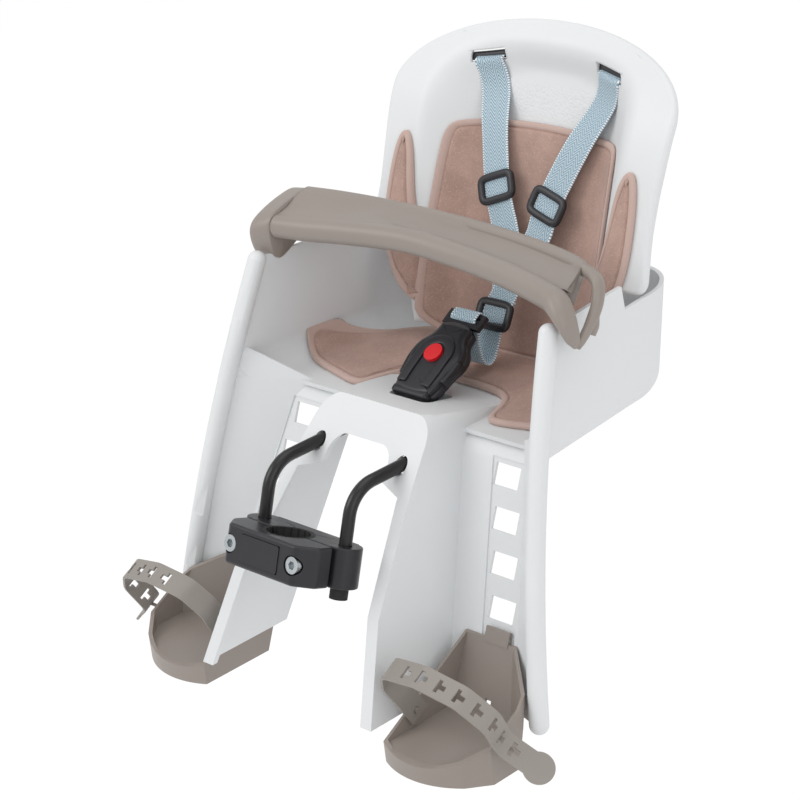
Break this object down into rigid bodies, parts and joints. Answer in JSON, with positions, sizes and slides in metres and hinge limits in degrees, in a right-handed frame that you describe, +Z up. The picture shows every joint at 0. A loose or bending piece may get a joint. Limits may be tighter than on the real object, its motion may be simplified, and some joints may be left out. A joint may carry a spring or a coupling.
{
  "type": "front child bicycle seat",
  "caption": "Moulded child seat that clamps to a bicycle's head tube, with a lap bar, felt pad, harness, buckle and footrests that slide up and down.",
  "frame": {"origin": "centre of the clamp bore that grips the bicycle's head tube", "axes": "+Z up as it stands on the bicycle, +Y back towards the rider, +X to the right seen from the front; the clamp bore leans back 20 degrees from +Z towards +Y at its top"},
  "size_m": [0.4638, 0.384, 0.4521],
  "materials": {
    "shell_white": "fine satin",
    "taupe_plastic": "fine satin",
    "taupe_soft": "satin",
    "black_plastic": "fine texture",
    "black_rubber": "matte",
    "black_steel": "satin powder coat",
    "zinc_steel": "zinc plated",
    "pad_felt": "felt with an embossed border",
    "blue_webbing": "woven with a pale herringbone",
    "red_plastic": "satin"
  },
  "bodies": {
    "seat": {"lower_shell": "shell_white", "backrest_shell": "shell_white", "bracket_front": "black_plastic", "bracket_rear": "black_plastic", "bracket_plate": "black_plastic", "clamp_bolts": "zinc_steel", "clamp_nuts": "zinc_steel", "clamp_liner_front": "black_rubber", "clamp_liner_rear": "black_rubber", "support_rod": "black_steel", "rod_caps": "black_rubber", "rod_clamp_plate": "black_steel", "rod_clamp_screws": "zinc_steel", "bar_hinge_cap": "taupe_plastic", "hinge_pin": "zinc_steel", "seat_liner": "pad_felt", "backrest_screws": "zinc_steel", "shoulder_strap_left": "blue_webbing", "shoulder_strap_right": "blue_webbing", "strap_slider_left": "black_plastic", "strap_slider_right": "black_plastic", "strap_slider_join": "black_plastic", "strap_anchor_left": "black_plastic", "strap_anchor_right": "black_plastic", "buckle_body": "black_plastic", "buckle_back": "black_plastic", "buckle_tongue": "black_plastic", "lower_strap": "blue_webbing", "crotch_strap": "blue_webbing", "crotch_anchor_plate": "black_steel"},
    "bar": {"front_bar": "taupe_plastic"},
    "right_footrest": {"footrest_right": "taupe_plastic", "foot_strap_right": "taupe_soft"},
    "left_footrest": {"footrest_left": "taupe_plastic", "foot_strap_left": "taupe_soft"},
    "button": {"buckle_button": "red_plastic"}
  },
  "joints": [
    {"name": "bar_swing", "type": "hinge", "parent": "seat", "child": "bar", "pos_m": [-0.147, 0.147, 0.18], "axis": [0, 0, -1], "range_deg": [0, 100]},
    {"name": "right_footrest_slide", "type": "slide", "parent": "seat", "child": "right_footrest", "axis": [-0.1924, 0.4027, 0.8949], "range_m": [0, 0.0972]},
    {"name": "left_footrest_slide", "type": "slide", "parent": "seat", "child": "left_footrest", "axis": [0.1924, 0.4027, 0.8949], "range_m": [0, 0.0972]},
    {"name": "button_press", "type": "slide", "parent": "seat", "child": "button", "axis": [0, 0.5151, -0.8571], "range_m": [0, 0.0025], "stiffness_N_per_m": 600, "springref_m": -0.001}
  ]
}
